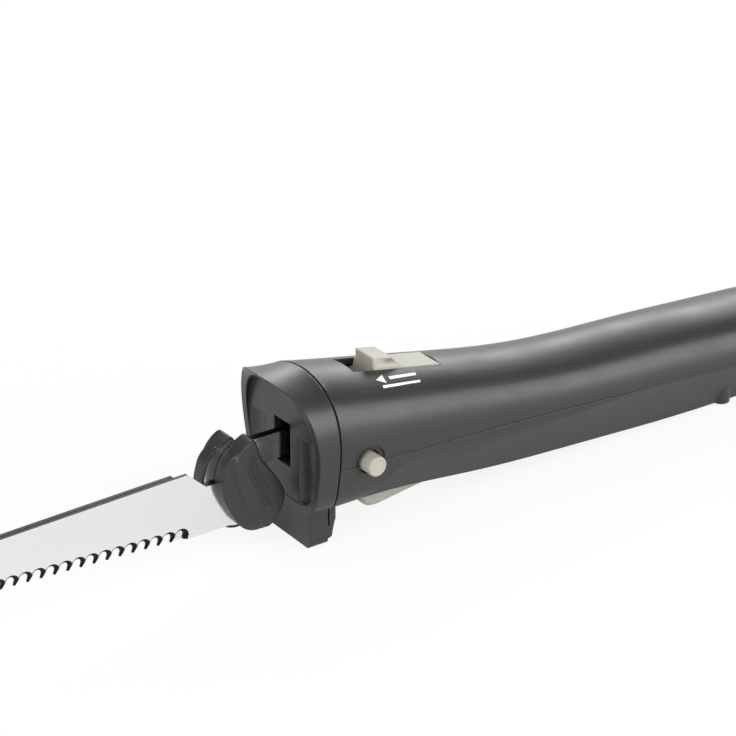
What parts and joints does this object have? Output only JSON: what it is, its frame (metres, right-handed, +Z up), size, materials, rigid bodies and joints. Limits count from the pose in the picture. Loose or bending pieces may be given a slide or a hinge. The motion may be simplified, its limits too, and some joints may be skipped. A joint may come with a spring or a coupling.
{
  "type": "electric carving knife",
  "caption": "Handheld electric carving knife with two scalloped reciprocating blades, bolsters, a worm drive, a safety slide, a bar trigger and blade release buttons.",
  "frame": {"origin": "on the table under the middle of the whole length, on the knife's middle plane", "axes": "+X forward to the blade tips, +Y to the knife's left, +Z up from the table that the foot rests on"},
  "size_m": [0.4876, 0.0572, 0.0655],
  "materials": {
    "housing": "satin moulded black",
    "control_plastic": "satin cream grey",
    "frame_plastic": "moulded natural white",
    "gear_plastic": "moulded acetal",
    "switch_plastic": "moulded",
    "board": "pressed paper laminate",
    "carbon": "pressed carbon",
    "magnet": "sintered ferrite",
    "rubber": "soft black",
    "blade_steel": "polished with a fine grind",
    "steel": "bright",
    "zinc_steel": "dull plated",
    "bronze": "sintered bronze",
    "copper": "enamelled copper"
  },
  "bodies": {
    "handle": {"upper_housing": "housing", "lower_housing": "housing", "front_bezel": "housing", "housing_screws": "steel", "gear_frame": "frame_plastic", "gear_axle": "steel", "rear_bush": "bronze", "front_bush": "bronze", "motor_can": "zinc_steel", "field_magnets": "magnet", "motor_end_cap": "housing", "carbon_brushes": "carbon", "switch_body": "switch_plastic", "rectifier_board": "board", "slide_retainer": "frame_plastic", "trigger_pin": "steel", "cord_gland": "rubber", "cord_clamp": "frame_plastic", "clamp_screws": "steel", "trigger_spring": "steel", "button_spring_left": "steel", "button_spring_right": "steel"},
    "rotor": {"motor_shaft": "steel", "rotor_core": "zinc_steel", "rotor_windings": "copper", "commutator": "copper", "cooling_fan": "frame_plastic", "worm": "steel"},
    "gear": {"worm_wheel": "gear_plastic", "crank_pins": "steel"},
    "left_driver": {"driver_left": "control_plastic", "latch_left": "steel"},
    "right_driver": {"driver_right": "control_plastic", "latch_right": "steel"},
    "left_blade": {"blade_left": "blade_steel", "bolster_left": "housing", "blade_rivet": "steel"},
    "right_blade": {"blade_right": "blade_steel", "bolster_right": "housing"},
    "slide": {"safety_slide": "control_plastic"},
    "trigger_bar": {"trigger": "control_plastic"},
    "plunger": {"switch_plunger": "control_plastic"},
    "left_button": {"release_button_left": "control_plastic"},
    "right_button": {"release_button_right": "control_plastic"}
  },
  "joints": [
    {"name": "motor_spin", "type": "hinge", "parent": "handle", "child": "rotor", "pos_m": [-0.10374, 0, 0.0215], "axis": [1, 0, 0], "continuous": true},
    {"name": "gear_spin", "type": "hinge", "parent": "handle", "child": "gear", "pos_m": [-0.04074, 0, 0.0345], "axis": [0, 1, 0], "continuous": true},
    {"name": "left_stroke", "type": "slide", "parent": "handle", "child": "left_driver", "axis": [1, 0, 0], "range_m": [-0.00103, 0.00597]},
    {"name": "right_stroke", "type": "slide", "parent": "handle", "child": "right_driver", "axis": [1, 0, 0], "range_m": [-0.00597, 0.00103]},
    {"name": "left_blade_out", "type": "slide", "parent": "left_driver", "child": "left_blade", "axis": [1, 0, 0], "range_m": [0, 0.052]},
    {"name": "right_blade_out", "type": "slide", "parent": "right_driver", "child": "right_blade", "axis": [1, 0, 0], "range_m": [0, 0.052]},
    {"name": "safety", "type": "slide", "parent": "handle", "child": "slide", "axis": [0.9816, 0, 0.1912], "range_m": [0, 0.007]},
    {"name": "trigger_press", "type": "hinge", "parent": "handle", "child": "trigger_bar", "pos_m": [-0.06274, 0, 0.0118], "axis": [0, -1, 0], "range_deg": [0, 4], "stiffness_Nm_per_rad": 1.5, "springref_deg": -20.05, "deforming": ["trigger_spring"]},
    {"name": "plunger_lift", "type": "slide", "parent": "handle", "child": "plunger", "axis": [0, 0, 1], "range_m": [0, 0.003]},
    {"name": "left_release", "type": "slide", "parent": "handle", "child": "left_button", "axis": [0, -1, 0], "range_m": [0, 0.003], "stiffness_N_per_m": 600, "springref_m": -0.003, "deforming": ["button_spring_left"]},
    {"name": "right_release", "type": "slide", "parent": "handle", "child": "right_button", "axis": [0, 1, 0], "range_m": [0, 0.003], "stiffness_N_per_m": 600, "springref_m": -0.003, "deforming": ["button_spring_right"]}
  ],
  "couplings": [
    {"joint": "gear_spin", "follows": "motor_spin", "ratio": 0.041667},
    {"joint": "right_stroke", "follows": "left_stroke", "ratio": -1},
    {"joint": "right_blade_out", "follows": "left_blade_out", "ratio": 1},
    {"joint": "plunger_lift", "follows": "trigger_press", "m_per_rad": 0.0402}
  ]
}
